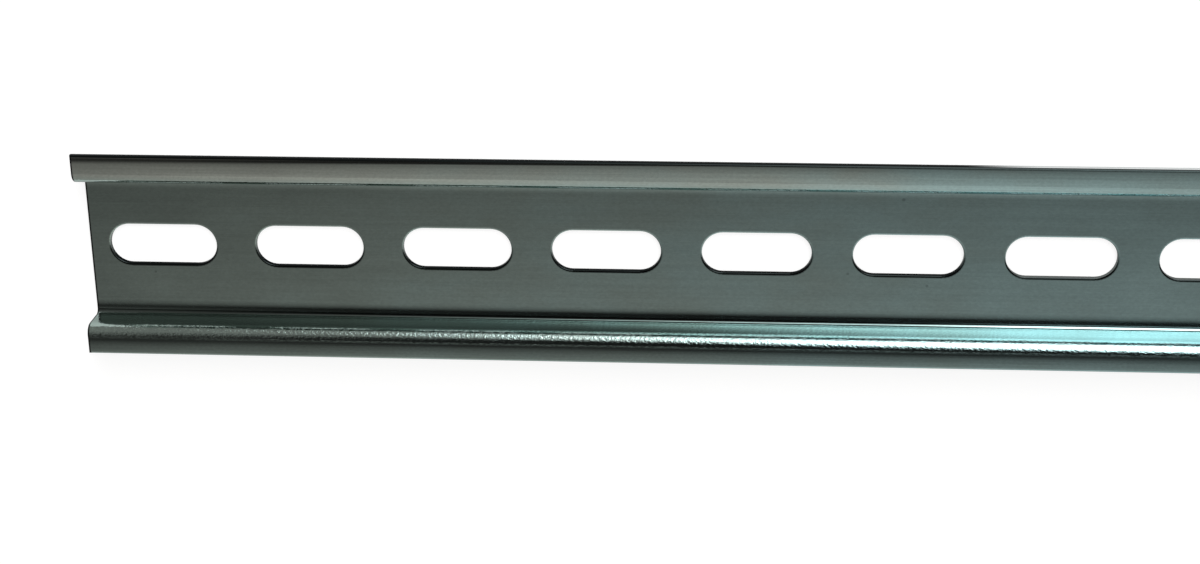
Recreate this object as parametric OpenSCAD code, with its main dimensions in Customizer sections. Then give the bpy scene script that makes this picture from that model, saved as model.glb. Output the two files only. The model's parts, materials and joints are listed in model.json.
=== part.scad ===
// Slotted top-hat mounting rail, 35 mm wide and 7.5 mm high, rolled from one strip of
// 1 mm steel. It lies on the back of its web with the open side up: X runs along the
// rail, Y across it, and Z from the mounting face to the front of the flanges.

/* [Rail] */
// Length of the cut rail
rail_length = 300; // [100:25:1000]
// Overall width across the two flanges
rail_width = 35; // [33:0.5:40]
// Height from the mounting face to the front of the flanges
rail_height = 7.5; // [6:0.5:15]
// Thickness of the strip
sheet_t = 1; // [0.8:0.1:1.2]
// Clear width of the channel between the two side walls
channel_width = 25; // [24:0.5:27]
// Radius on the inside of every bend
bend_r = 0.8; // [0.4:0.1:1]
// Rounding of the strip's two long edges, on the front
edge_r = 0.4; // [0.1:0.05:0.5]
// Rounding of the two cut ends, on the front where the shear came down
end_r = 0.3; // [0.1:0.05:0.5]

/* [Slots] */
// Overall length of a slot
slot_length = 18.2; // [10:0.1:20]
// Width of a slot
slot_width = 7; // [4:0.1:8]
// Distance from one slot's middle to the next
slot_pitch = 25; // [22:0.5:50]
// Rounding of a slot's rim, on the front where the punch went in
rim_r = 0.4; // [0.1:0.05:0.5]

/* [Hidden] */
$fn = 96;
zinc = [0.50, 0.53, 0.54];

// Inner and outer faces of the side walls, from the middle of the rail
wall_in = channel_width / 2;
wall_out = wall_in + sheet_t;
// Radius on the outside of every bend
bend_out = bend_r + sheet_t;
// Where the flat of the web ends and the flat of a flange begins
web_end = wall_in - bend_r;
flange_start = wall_out + bend_r;
// Round ends of a slot: their radius, and how far their middles are apart
slot_r = slot_width / 2;
slot_run = slot_length - slot_width;
slot_count = floor(rail_length / slot_pitch);
// How far a cutter runs past the face that it cuts
past = 0.3;

// A quarter of a bent strip round the origin, in the quadrant that sx and sy point to
module bend(sx, sy) {
    intersection() {
        difference() {
            circle(bend_out);
            circle(bend_r);
        }
        translate([sx < 0 ? -bend_out : 0, sy < 0 ? -bend_out : 0]) square(bend_out);
    }
}

// What rounding with radius r takes off a square corner. The corner is at the origin,
// and the metal lies towards -x and -y.
module corner_waste(r) {
    difference() {
        translate([-r, -r]) square([r + past, r + past]);
        translate([-r, -r]) circle(r);
    }
}

// One half of the rail's section, from its middle to the edge of a flange
module half_section() {
    square([web_end, sheet_t]);
    translate([web_end, bend_out]) bend(1, -1);
    translate([wall_in, bend_out]) square([sheet_t, rail_height - 2 * bend_out]);
    translate([flange_start, rail_height - bend_out]) bend(-1, 1);
    difference() {
        translate([flange_start, rail_height - sheet_t])
            square([rail_width / 2 - flange_start, sheet_t]);
        translate([rail_width / 2, rail_height]) corner_waste(edge_r);
    }
}

// What rounding takes off the front edge of a cut end, along one half of the section.
// It follows the front of the strip: web, bend, side wall, bend and flange.
module end_waste() {
    translate([0, sheet_t, 0])
        rotate([90, 0, 90]) linear_extrude(web_end) corner_waste(end_r);
    translate([web_end, bend_out, 0]) rotate(-90)
        rotate_extrude(angle = 90) translate([bend_r, 0]) mirror([1, 0]) corner_waste(end_r);
    translate([wall_in, bend_out, 0])
        rotate([90, 0, 180]) linear_extrude(rail_height - 2 * bend_out) corner_waste(end_r);
    translate([flange_start, rail_height - bend_out, 0]) rotate(90)
        rotate_extrude(angle = 90) translate([bend_out, 0]) corner_waste(end_r);
    translate([flange_start, rail_height, 0])
        rotate([90, 0, 90]) linear_extrude(rail_width / 2 - flange_start + past) corner_waste(end_r);
}

// One half of a slot's cutter, from the middle of the slot out: straight through the
// web, then flared over the rounded rim. It is also what the round ends turn.
module slot_half_profile() {
    translate([0, -past]) square([slot_r, sheet_t + 2 * past]);
    difference() {
        translate([0, sheet_t - rim_r]) square([slot_r + rim_r, rim_r + past]);
        translate([slot_r + rim_r, sheet_t - rim_r]) circle(rim_r);
    }
}

module slot_cutter() {
    for (side = [-1, 1])
        translate([side * slot_run / 2, 0, 0]) rotate_extrude() slot_half_profile();
    rotate([90, 0, 90]) linear_extrude(slot_run, center = true) {
        slot_half_profile();
        mirror([1, 0]) slot_half_profile();
    }
}

// The rolled strip, with its row of slots centred on its length and its two cut ends
module rail() {
    color(zinc) difference() {
        rotate([90, 0, 90]) linear_extrude(rail_length, center = true) {
            half_section();
            mirror([1, 0]) half_section();
        }
        for (i = [0 : slot_count - 1])
            translate([(i - (slot_count - 1) / 2) * slot_pitch, 0, 0]) slot_cutter();
        for (end = [0, 1], half = [0, 1])
            mirror([end, 0, 0]) translate([rail_length / 2, 0, 0])
                rotate([90, 0, 90]) mirror([half, 0, 0]) end_waste();
    }
}

rail();
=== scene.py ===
"""Looks of the slotted top-hat rail: zinc plating on rolled steel strip, on a pale floor in soft light.
X runs along the rail, Y across it, and Z up from the floor."""

import json
import math

import bpy
from mathutils import Matrix, Vector


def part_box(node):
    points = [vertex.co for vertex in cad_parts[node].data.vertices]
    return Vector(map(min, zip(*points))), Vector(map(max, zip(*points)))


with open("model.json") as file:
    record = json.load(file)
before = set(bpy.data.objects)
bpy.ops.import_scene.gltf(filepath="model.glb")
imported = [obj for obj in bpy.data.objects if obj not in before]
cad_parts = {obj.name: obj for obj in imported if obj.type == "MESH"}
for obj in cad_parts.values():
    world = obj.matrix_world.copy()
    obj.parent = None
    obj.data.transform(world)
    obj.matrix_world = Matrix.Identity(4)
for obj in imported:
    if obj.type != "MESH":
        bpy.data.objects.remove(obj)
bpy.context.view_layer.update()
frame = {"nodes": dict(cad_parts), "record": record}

MM = 0.001

# The rail's own sizes, in metres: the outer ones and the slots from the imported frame, the section's from
# its standard.
low, high = (Vector(corner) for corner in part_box("rail"))
LENGTH = high.x - low.x
WIDTH = high.y - low.y
mounts = {mount["name"]: mount for mount in frame["record"]["mounts"]}
middle_pair = mounts["slots_6_and_7"]["dims"]
PITCH = middle_pair["spacing_x_mm"] * MM
SLOT_R = middle_pair["hole_r_mm"] * MM
SLOT_RUN = middle_pair["slot_length_mm"] * MM - 2 * SLOT_R
SHEET = 1.0 * MM
BEND_IN = 0.8 * MM
BEND_OUT = BEND_IN + SHEET
CHANNEL_HALF = 12.5 * MM
WEB_END = CHANNEL_HALF - BEND_IN
FLANGE_START = CHANNEL_HALF + BEND_OUT
RIM = 0.4 * MM

# The strip springs back a little beside each bend: how far that reaches, and how steep it is there.
FLANGE_TAIL = 3.2 * MM
FLANGE_LIFT = math.radians(6.2)
WEB_TAIL = 1.8 * MM
WEB_LIFT = math.radians(8.0)
WALL_TAIL = 3.0 * MM
WALL_LEAN = math.radians(5.0)
# The bend beside the web is rolled tighter in its middle than a true quarter circle.
FILLET_PINCH = 0.12 * MM
# A slot's rim starts shallower than its rounding, and the long edge at +Y is drawn down: its reach and
# its slope.
RIM_PINCH = 0.13 * MM
DRAW_REACH = 0.35 * MM
DRAW_SLOPE = math.radians(9.0)

# The plating's relief: how deep the rolling marks are, and how deep and how wide the grain is, on the flat
# and where a bend stretched it.
MARKS_DEPTH = 0.003 * MM
GRAIN_DEPTH = 0.0016 * MM
GRAIN_SIZE = 0.24 * MM
COARSE_DEPTH = 0.048 * MM
COARSE_SIZE = 0.32 * MM

# Colours of the plating: clean, yellowed, and yellowed on a flange. Then the painted shade on the rims,
# and the cuts themselves: bare, painted shade, and a painted highlight along the sides.
CLEAN = (0.27, 0.39, 0.397)
YELLOWED = (0.31, 0.385, 0.358)
YELLOWED_FLANGE = (0.365, 0.40, 0.368)
BLACK = (0.0, 0.0, 0.0)
RIM_SHADE = (0.012, 0.015, 0.015)
BARE_CUT = (0.14, 0.155, 0.15)
SHADED_CUT = (0.008, 0.01, 0.01)
CUT_HIGHLIGHT = (0.85, 0.88, 0.88)
ROUGHNESS = 0.09
RIM_ROUGHER = 0.05

# Where along X the yellowing fades out, where the cuts turn from painted shade to a painted highlight,
# and where the painted shade in the corners fades out.
YELLOW_FADE = (low.x + 45 * MM, 65 * MM)
CUT_SHADE_FADE = (-5 * MM, 8 * MM)
CORNER_SHADE_FADE = (-20 * MM, 20 * MM)
CLOUD_SHIFT = 50 * MM

FLOOR_HALF = 3.0
FLOOR_GLOW = 1.2
FLOOR_GLOW_SHARE = 0.7

# The room's borders. A LEAN is in degrees from straight up towards +Y, and a SIDE is how far a direction
# leans towards +X for each unit across the rail.
NEAR_LEAN = (-40.0, -12.5)
NEAR_SIDE = (-0.7, 0.2)
NEAR_LEVELS = (0.30, 1.10)
FAR_LEAN = (12.0, 36.0)
FAR_SIDE = (-0.30, -0.16)
LEFT_LEAN = (-16.0, 16.0)
LEFT_SIDE = (-0.18, -0.34)
WINDOW_BORDER = (20.0, 57.0)
WINDOW_SLANT = 127.0
WINDOW_SLANT_END = 0.17
WINDOW_SIDE = (-0.21, 0.16)
WINDOW_TOP = (60.0, 90.0)
WINDOW_END = (0.35, 0.75)
WINDOW_LEVEL = 8.5
DAYLIGHT = 0.75
WALL_LEVEL = 0.78
DARK_LEVEL = 0.022


# ---------------------------------------------------------------- node helpers

def node(tree, kind, inputs=(), **settings):
    """Adds a node, sets its properties and fills its inputs: a socket is linked, the rest are values."""
    made = tree.nodes.new(kind)
    for name, value in settings.items():
        setattr(made, name, value)
    for key, value in dict(inputs).items():
        if isinstance(value, bpy.types.NodeSocket):
            tree.links.new(value, made.inputs[key])
        else:
            made.inputs[key].default_value = value
    return made


def math_node(tree, operation, *values, clamp=False):
    inputs = dict(enumerate(values))
    return node(tree, "ShaderNodeMath", inputs, operation=operation, use_clamp=clamp).outputs[0]


def ramp(tree, value, start, end, low_out=0.0, high_out=1.0, smooth=True):
    """Goes from low_out to high_out as value goes from start to end, and stays there outside."""
    inputs = {
        "Value": value, "From Min": start, "From Max": end, "To Min": low_out, "To Max": high_out}
    way = "SMOOTHSTEP" if smooth else "LINEAR"
    made = node(tree, "ShaderNodeMapRange", inputs, interpolation_type=way, clamp=True)
    return made.outputs["Result"]


def mix_colour(tree, factor, first, second, blend="MIX"):
    made = node(tree, "ShaderNodeMix", {"Factor": factor}, data_type="RGBA", blend_type=blend)
    for socket, value in zip([s for s in made.inputs if s.type == "RGBA"], (first, second)):
        if isinstance(value, bpy.types.NodeSocket):
            tree.links.new(value, socket)
        else:
            socket.default_value = (*value, 1.0)
    return next(s for s in made.outputs if s.type == "RGBA")


def noise(tree, vector, scale, detail=2.0, roughness=0.5):
    inputs = {"Vector": vector, "Scale": scale, "Detail": detail, "Roughness": roughness}
    return node(tree, "ShaderNodeTexNoise", inputs).outputs["Fac"]


def stretched(tree, vector, along):
    """The vector with its X shortened, so that a texture on it is drawn out along the rail."""
    inputs = {0: vector, 1: (along, 1.0, 1.0), 2: (0.0, 0.0, 0.0)}
    return node(tree, "ShaderNodeVectorMath", inputs, operation="MULTIPLY_ADD").outputs[0]


def group(name, inputs, outputs):
    """An empty node group with named sockets: returns the tree, its given values and its output node."""
    tree = bpy.data.node_groups.new(name, "ShaderNodeTree")
    for label, kind in inputs:
        tree.interface.new_socket(label, in_out="INPUT", socket_type=kind)
    for label, kind in outputs:
        tree.interface.new_socket(label, in_out="OUTPUT", socket_type=kind)
    return tree, tree.nodes.new("NodeGroupInput").outputs, tree.nodes.new("NodeGroupOutput")


def use(tree, shared, inputs):
    """Places a node group in a material, with its own values: returns the group's outputs."""
    return node(tree, "ShaderNodeGroup", inputs, node_tree=shared).outputs


VECTOR = "NodeSocketVector"
FLOAT = "NodeSocketFloat"


# ---------------------------------------------------------------- effects

def rolling_marks():
    """Fine marks drawn out along the strip by the rolls: a height in metres, and the marks as a mask."""
    tree, given, out = group("rolling_marks", [("Vector", VECTOR), ("Depth", FLOAT)],
                             [("Height", FLOAT), ("Mask", FLOAT)])
    fine = noise(tree, stretched(tree, given["Vector"], 0.012), 2600.0, 3.0, 0.6)
    broad = noise(tree, stretched(tree, given["Vector"], 0.02), 800.0, 2.0, 0.5)
    both = math_node(tree, "MULTIPLY_ADD", fine, 0.5, math_node(tree, "MULTIPLY", broad, 0.5))
    tree.links.new(both, out.inputs["Mask"])
    tree.links.new(math_node(tree, "MULTIPLY", both, given["Depth"]), out.inputs["Height"])
    return tree


def plating_grain():
    """The plating's crystal grain, as deep and as coarse as it is given: a height in metres."""
    tree, given, out = group("plating_grain", [("Vector", VECTOR), ("Depth", FLOAT), ("Size", FLOAT)],
                             [("Height", FLOAT)])
    fineness = math_node(tree, "DIVIDE", 1.0, given["Size"])
    grain = noise(tree, given["Vector"], fineness, 2.0, 0.6)
    tree.links.new(math_node(tree, "MULTIPLY", grain, given["Depth"]), out.inputs["Height"])
    return tree


def slot_distance():
    """How far a point of the web is from the nearest slot's outline, in metres."""
    tree, given, out = group("slot_distance", [("Vector", VECTOR)], [("Distance", FLOAT)])
    axes = node(tree, "ShaderNodeSeparateXYZ", {0: given["Vector"]}).outputs
    local = math_node(tree, "FLOORED_MODULO", axes["X"], PITCH)
    local = math_node(tree, "ABSOLUTE", math_node(tree, "SUBTRACT", local, PITCH / 2))
    along = math_node(tree, "MAXIMUM", math_node(tree, "SUBTRACT", local, SLOT_RUN / 2), 0.0)
    point = node(tree, "ShaderNodeCombineXYZ", {"X": along, "Y": axes["Y"]}).outputs[0]
    reach = node(tree, "ShaderNodeVectorMath", {0: point}, operation="LENGTH").outputs["Value"]
    tree.links.new(math_node(tree, "SUBTRACT", reach, SLOT_R), out.inputs["Distance"])
    return tree


def soft_turn(tree, place, start, end, slope, power, fade):
    """A height that starts level at start and has its full slope at end. The slope grows with the power
    of the way, and is gone again over the length fade past end."""
    away = 1.0 if start > end else -1.0
    outside = ramp(tree, place, start, end, smooth=False)
    rise = math_node(tree, "POWER", outside, power)
    rise = math_node(tree, "MULTIPLY", rise, math.tan(slope) * abs(start - end) / power)
    inside = ramp(tree, place, end - away * fade, end, smooth=False)
    fall = math_node(tree, "POWER", inside, 2.0)
    fall = math_node(tree, "MULTIPLY", fall, -math.tan(slope) * fade / 2)
    return math_node(tree, "ADD", rise, fall)


def cut_edges():
    """Where the strip was cut. Rim is the rounded border of every cut, and Face the cut itself. Dark is
    where a cut is shaded: each slot's -Y side, the rail's +Y side, and its ends. Side is along the two long
    edges. Height is the strip's form beside its cuts, in metres."""
    tree, given, out = group("cut_edges", [("Vector", VECTOR)], [
        ("Rim", FLOAT), ("Face", FLOAT), ("Dark", FLOAT), ("Side", FLOAT), ("Height", FLOAT)])
    axes = node(tree, "ShaderNodeSeparateXYZ", {0: given["Vector"]}).outputs
    to_slot = use(tree, slot_distance(), {"Vector": given["Vector"]})["Distance"]
    to_side = math_node(tree, "SUBTRACT", WIDTH / 2, math_node(tree, "ABSOLUTE", axes["Y"]))
    to_end = math_node(tree, "SUBTRACT", LENGTH / 2, math_node(tree, "ABSOLUTE", axes["X"]))
    # The rolled-over rims of the slots are narrower than those of the outer cuts.
    slot_rim = math_node(tree, "MULTIPLY", to_slot, 1.3)
    outer_rim = math_node(tree, "MINIMUM", to_side, to_end)
    nearest = math_node(tree, "MINIMUM", slot_rim, outer_rim)
    tree.links.new(ramp(tree, nearest, 0.7 * RIM, 1.0 * RIM, 1.0, 0.0), out.inputs["Rim"])
    tree.links.new(ramp(tree, nearest, 0.06 * RIM, 0.2 * RIM, 1.0, 0.0), out.inputs["Face"])
    tree.links.new(ramp(tree, to_side, RIM, 1.4 * RIM, 1.0, 0.0), out.inputs["Side"])

    in_slot = math_node(tree, "MULTIPLY", ramp(tree, axes["Y"], -0.7 * SLOT_R, 0.1 * SLOT_R, 1.0, 0.0),
                        ramp(tree, axes["Y"], -3.0 * SLOT_R, -2.0 * SLOT_R))
    beside = math_node(tree, "MAXIMUM", in_slot, ramp(tree, axes["Y"], 2.0 * SLOT_R, 3.0 * SLOT_R))
    dark = math_node(tree, "MAXIMUM", beside, ramp(tree, to_end, RIM, 1.2 * RIM, 1.0, 0.0))
    tree.links.new(dark, out.inputs["Dark"])

    pinch = math_node(tree, "POWER", ramp(tree, to_slot, RIM, 0.1 * RIM, smooth=False), 2.0)
    pinch = math_node(tree, "MULTIPLY", pinch, RIM_PINCH)
    # The long edge at +Y is drawn down further, and more, towards the rail's left end.
    wider = ramp(tree, axes["X"], low.x, 0.2 * low.x, 0.45, 1.0)
    place = math_node(tree, "MULTIPLY", math_node(tree, "SUBTRACT", WIDTH / 2, axes["Y"]), wider)
    drawn = soft_turn(tree, place, DRAW_REACH + 0.7 * RIM, 0.7 * RIM, -DRAW_SLOPE, 2.0, 0.5 * RIM)
    drawn = math_node(tree, "MULTIPLY", drawn, ramp(tree, axes["X"], 0.55 * low.x, 0.25 * low.x, 1.0, 0.3))
    tree.links.new(math_node(tree, "ADD", pinch, drawn), out.inputs["Height"])
    return tree


def bend_form():
    """Height is the strip's soft run into each bend, in metres. Stretched is where its front was stretched
    most. Corner is the inside of the bend between the web and a side wall."""
    tree, given, out = group("bend_form", [("Vector", VECTOR)],
                             [("Height", FLOAT), ("Stretched", FLOAT), ("Corner", FLOAT)])
    axes = node(tree, "ShaderNodeSeparateXYZ", {0: given["Vector"]}).outputs
    across = math_node(tree, "ABSOLUTE", axes["Y"])
    flange = soft_turn(tree, across, FLANGE_START + FLANGE_TAIL, FLANGE_START, -FLANGE_LIFT, 2.3, 0.5 * MM)
    web = soft_turn(tree, across, WEB_END - WEB_TAIL, WEB_END, WEB_LIFT, 2.7, 0.4 * MM)
    wall = soft_turn(tree, axes["Z"], BEND_OUT + WALL_TAIL, BEND_OUT, WALL_LEAN, 2.0, 0.2 * MM)
    pinch = ramp(tree, across, WEB_END, WEB_END + 0.7 * MM, 0.0, -FILLET_PINCH)
    flats = math_node(tree, "ADD", flange, web)
    walls = math_node(tree, "ADD", wall, pinch)
    tree.links.new(math_node(tree, "ADD", flats, walls), out.inputs["Height"])
    inner = ramp(tree, across, CHANNEL_HALF - 0.2 * MM, CHANNEL_HALF + 0.1 * MM)
    outer = ramp(tree, across, FLANGE_START - 0.5 * MM, FLANGE_START + 0.5 * MM, 1.0, 0.0)
    stretched_most = ramp(tree, axes["Y"], -0.5 * CHANNEL_HALF, 0.5 * CHANNEL_HALF, 1.0, 0.3)
    stretch = math_node(tree, "MULTIPLY", math_node(tree, "MULTIPLY", inner, outer), stretched_most)
    tree.links.new(stretch, out.inputs["Stretched"])
    past_web = ramp(tree, across, WEB_END, WEB_END + 0.3 * BEND_IN)
    short_of_wall = ramp(tree, across, CHANNEL_HALF + 0.05 * SHEET, CHANNEL_HALF + 0.15 * SHEET, 1.0, 0.0)
    corner = math_node(tree, "MULTIPLY", past_web, short_of_wall)
    above_back = ramp(tree, axes["Z"], 0.5 * SHEET, 0.8 * SHEET)
    below_wall = ramp(tree, axes["Z"], SHEET + 0.2 * BEND_IN, SHEET + 0.8 * BEND_IN, 1.0, 0.0)
    raised = math_node(tree, "MULTIPLY", above_back, below_wall)
    tree.links.new(math_node(tree, "MULTIPLY", corner, raised), out.inputs["Corner"])
    return tree


def mottle():
    """Uneven plating: Cloud is broad and soft, Grain is fine, Specks are a few small marks."""
    tree, given, out = group("mottle", [("Vector", VECTOR)],
                             [("Cloud", FLOAT), ("Grain", FLOAT), ("Specks", FLOAT)])
    cloud = noise(tree, stretched(tree, given["Vector"], 0.45), 110.0, 3.0, 0.6)
    tree.links.new(ramp(tree, cloud, 0.32, 0.68, smooth=False), out.inputs["Cloud"])
    fine = noise(tree, stretched(tree, given["Vector"], 0.7), 2400.0, 2.0, 0.6)
    tree.links.new(ramp(tree, fine, 0.3, 0.7, smooth=False), out.inputs["Grain"])
    inputs = {"Vector": given["Vector"], "Scale": 230.0}
    cells = node(tree, "ShaderNodeTexVoronoi", inputs, feature="F1").outputs
    spot = ramp(tree, cells["Distance"], 0.05, 0.09, 1.0, 0.0)
    chosen = node(tree, "ShaderNodeSeparateColor", {0: cells["Color"]}).outputs[0]
    chosen = ramp(tree, chosen, 0.80, 0.84)
    tree.links.new(math_node(tree, "MULTIPLY", spot, chosen), out.inputs["Specks"])
    return tree


# ---------------------------------------------------------------- the rail

def zinc_plate():
    material = bpy.data.materials.new("zinc_plate")
    material.use_nodes = True
    tree = material.node_tree
    tree.nodes.clear()
    place = node(tree, "ShaderNodeTexCoord").outputs["Object"]
    axes = node(tree, "ShaderNodeSeparateXYZ", {0: place}).outputs

    marks = use(tree, rolling_marks(), {"Vector": place, "Depth": MARKS_DEPTH})
    grain = use(tree, plating_grain(), {"Vector": place, "Depth": GRAIN_DEPTH, "Size": GRAIN_SIZE})
    edges = use(tree, cut_edges(), {"Vector": place})
    form = use(tree, bend_form(), {"Vector": place})
    uneven = use(tree, mottle(), {"Vector": place})

    # Cool zinc, which has yellowed towards the left end, most of all on the flange at +Y.
    shifted = math_node(tree, "MULTIPLY_ADD", uneven["Cloud"], CLOUD_SHIFT, axes["X"])
    aged = ramp(tree, shifted, *YELLOW_FADE, 1.0, 0.0)
    outward = ramp(tree, axes["Y"], FLANGE_START - 1.5 * MM, FLANGE_START)
    shade = mix_colour(tree, aged, CLEAN, YELLOWED)
    shade = mix_colour(tree, math_node(tree, "MULTIPLY", aged, outward), shade, YELLOWED_FLANGE)
    streaks = ramp(tree, math_node(tree, "ABSOLUTE", axes["Y"]), WEB_END, FLANGE_START, 0.3, 0.7)
    strength = math_node(tree, "MULTIPLY_ADD", math_node(tree, "SUBTRACT", marks["Mask"], 0.5), streaks, 1.0)
    cloudy = ramp(tree, uneven["Cloud"], 0.0, 1.0, 0.93, 1.07, smooth=False)
    strength = math_node(tree, "MULTIPLY", strength, cloudy)
    grainy = ramp(tree, uneven["Grain"], 0.0, 1.0, 0.94, 1.06, smooth=False)
    strength = math_node(tree, "MULTIPLY", strength, grainy)
    speckled = ramp(tree, uneven["Specks"], 0.0, 1.0, 1.0, 0.72)
    strength = math_node(tree, "MULTIPLY", strength, speckled)
    grey = node(tree, "ShaderNodeCombineColor", {0: strength, 1: strength, 2: strength}).outputs[0]
    colour = mix_colour(tree, 1.0, shade, grey, "MULTIPLY")

    # Towards the right, the cuts turn from painted shade to a painted highlight. Painted shade darkens the
    # inside corners beside the web, less so towards the right.
    lit_cuts = ramp(tree, axes["X"], *CUT_SHADE_FADE)
    corner_shade = math_node(tree, "MULTIPLY", form["Corner"], ramp(tree, axes["X"], *CORNER_SHADE_FADE, 0.7, 0.0))
    colour = mix_colour(tree, corner_shade, colour, BLACK)

    # The cut faces are bare steel. Painted shade darkens the rims on one side and at the ends, and the faces
    # there towards the left; towards the right a painted highlight brightens the faces along the long edges.
    rim_shade = math_node(tree, "MULTIPLY", edges["Rim"], edges["Dark"])
    colour = mix_colour(tree, rim_shade, colour, RIM_SHADE)
    cut_shade = math_node(tree, "MULTIPLY", edges["Dark"], math_node(tree, "SUBTRACT", 1.0, lit_cuts))
    cut = mix_colour(tree, cut_shade, BARE_CUT, SHADED_CUT)
    cut = mix_colour(tree, math_node(tree, "MULTIPLY", edges["Side"], lit_cuts), cut, CUT_HIGHLIGHT)
    colour = mix_colour(tree, edges["Face"], colour, cut)
    rough = math_node(tree, "MULTIPLY_ADD", edges["Rim"], RIM_ROUGHER, ROUGHNESS)

    # Where a bend stretched the strip, its plating is coarse, and sparkles.
    depth = math_node(tree, "MULTIPLY", form["Stretched"], COARSE_DEPTH)
    drawn_out = stretched(tree, place, 0.6)
    coarse = use(tree, plating_grain(), {"Vector": drawn_out, "Depth": depth, "Size": COARSE_SIZE})
    height = math_node(tree, "ADD", marks["Height"], grain["Height"])
    height = math_node(tree, "ADD", height, coarse["Height"])
    height = math_node(tree, "ADD", height, math_node(tree, "ADD", form["Height"], edges["Height"]))
    bump = node(tree, "ShaderNodeBump", {"Height": height, "Strength": 1.0, "Distance": 1.0})
    normal = bump.outputs["Normal"]

    shader = node(tree, "ShaderNodeBsdfPrincipled", {
        "Base Color": colour, "Metallic": 1.0, "Roughness": rough, "Normal": normal,
        "Specular Tint": (0.5, 0.5, 0.5, 1.0)})
    node(tree, "ShaderNodeOutputMaterial", {"Surface": shader.outputs["BSDF"]})
    return material


def dress_rail():
    rail = frame["nodes"]["rail"]
    rail.data.materials.clear()
    rail.data.materials.append(zinc_plate())


# ---------------------------------------------------------------- studio

def floor_sheet():
    """A pale floor that shows white to the camera and in reflections, and keeps the rail's shadow."""
    bpy.ops.mesh.primitive_plane_add(size=2 * FLOOR_HALF, location=(0, 0, low.z))
    floor = bpy.context.object
    floor.name = "floor"
    material = bpy.data.materials.new("pale_floor")
    material.use_nodes = True
    tree = material.node_tree
    tree.nodes.clear()
    paper = node(tree, "ShaderNodeBsdfDiffuse", {"Color": (0.8, 0.8, 0.8, 1.0)}).outputs[0]
    white = node(tree, "ShaderNodeEmission", {"Color": (1, 1, 1, 1), "Strength": FLOOR_GLOW}).outputs[0]
    rays = node(tree, "ShaderNodeLightPath").outputs
    seen = math_node(tree, "ADD", rays["Is Camera Ray"], rays["Is Glossy Ray"], clamp=True)
    seen = math_node(tree, "ADD", seen, rays["Is Transmission Ray"], clamp=True)
    share = math_node(tree, "MULTIPLY", seen, FLOOR_GLOW_SHARE)
    both = node(tree, "ShaderNodeMixShader", {0: share, 1: paper, 2: white}).outputs[0]
    node(tree, "ShaderNodeOutputMaterial", {"Surface": both})
    floor.data.materials.append(material)


def studio_light():
    """Light from a soft room: pale walls, a wide window on the far right, and darkness overhead."""
    world = bpy.data.worlds.new("studio")
    bpy.context.scene.world = world
    world.use_nodes = True
    tree = world.node_tree
    tree.nodes.clear()
    way = node(tree, "ShaderNodeTexCoord").outputs["Generated"]
    axes = node(tree, "ShaderNodeSeparateXYZ", {0: way}).outputs
    upright = node(tree, "ShaderNodeCombineXYZ", {"Y": axes["Y"], "Z": axes["Z"]}).outputs[0]
    upright = node(tree, "ShaderNodeVectorMath", {0: upright}, operation="LENGTH").outputs["Value"]
    # How far a direction leans along the rail, and how far it leans across it, in degrees from straight up.
    side = math_node(tree, "DIVIDE", axes["X"], math_node(tree, "MAXIMUM", upright, 1e-4))
    lean = math_node(tree, "ARCTAN2", axes["Y"], axes["Z"])
    lean = math_node(tree, "MULTIPLY", lean, math.degrees(1.0))

    # The near wall, at -Y, which brightens towards the floor.
    near = ramp(tree, lean, *NEAR_LEAN, 0.0, 1.0, smooth=False)
    near = math_node(tree, "SUBTRACT", 1.0, math_node(tree, "POWER", near, 1.6))
    near = math_node(tree, "MULTIPLY", near, ramp(tree, side, *NEAR_SIDE, *NEAR_LEVELS))
    # The far wall, at +Y, and the one on the left.
    far = math_node(tree, "MULTIPLY", ramp(tree, lean, *FAR_LEAN), ramp(tree, side, *FAR_SIDE, 0.4, 1.0))
    left = math_node(tree, "MULTIPLY", ramp(tree, side, *LEFT_SIDE), ramp(tree, lean, *LEFT_LEAN, 0.0, 0.9))
    walls = math_node(tree, "MAXIMUM", far, left)
    walls = math_node(tree, "MULTIPLY_ADD", walls, 0.5, near)
    # The window, whose lower border runs aslant.
    aslant = math_node(tree, "MINIMUM", side, WINDOW_SLANT_END)
    aslant = math_node(tree, "MULTIPLY_ADD", aslant, WINDOW_SLANT, lean)
    window = math_node(tree, "MULTIPLY", ramp(tree, aslant, *WINDOW_BORDER), ramp(tree, side, *WINDOW_SIDE))
    window = math_node(tree, "MULTIPLY", window, ramp(tree, lean, *WINDOW_TOP, 1.0, 0.0))
    window = math_node(tree, "MULTIPLY", window, ramp(tree, side, *WINDOW_END, WINDOW_LEVEL, 0.0))
    strength = math_node(tree, "MULTIPLY_ADD", walls, WALL_LEVEL, DARK_LEVEL)
    room = node(tree, "ShaderNodeBackground", {"Color": (1.0, 0.96, 0.92, 1.0), "Strength": strength})
    strength = math_node(tree, "MULTIPLY", window, DAYLIGHT)
    daylight = node(tree, "ShaderNodeBackground", {"Color": (1.0, 1.0, 1.0, 1.0), "Strength": strength})
    both = node(tree, "ShaderNodeAddShader", {0: room.outputs[0], 1: daylight.outputs[0]}).outputs[0]
    node(tree, "ShaderNodeOutputWorld", {"Surface": both})


def camera():
    """Looks down on the left half of the rail from above its +Y side."""
    eye = Vector((-41.8, 115.05, 319.5)) * MM
    forward = Vector((-0.06384, -0.35329, -0.93333)).normalized()
    up = Vector((-0.01631, 0.93549, -0.35299))
    right = forward.cross(up).normalized()
    up = right.cross(forward)
    data = bpy.data.cameras.new("camera")
    data.sensor_width = 36.0
    data.lens = 61.08
    made = bpy.data.objects.new("camera", data)
    bpy.context.scene.collection.objects.link(made)
    turn = Matrix((right, up, -forward)).transposed().to_4x4()
    made.matrix_world = Matrix.Translation(eye) @ turn
    bpy.context.scene.camera = made


dress_rail()
floor_sheet()
studio_light()
camera()
bpy.context.scene.view_settings.view_transform = "Standard"
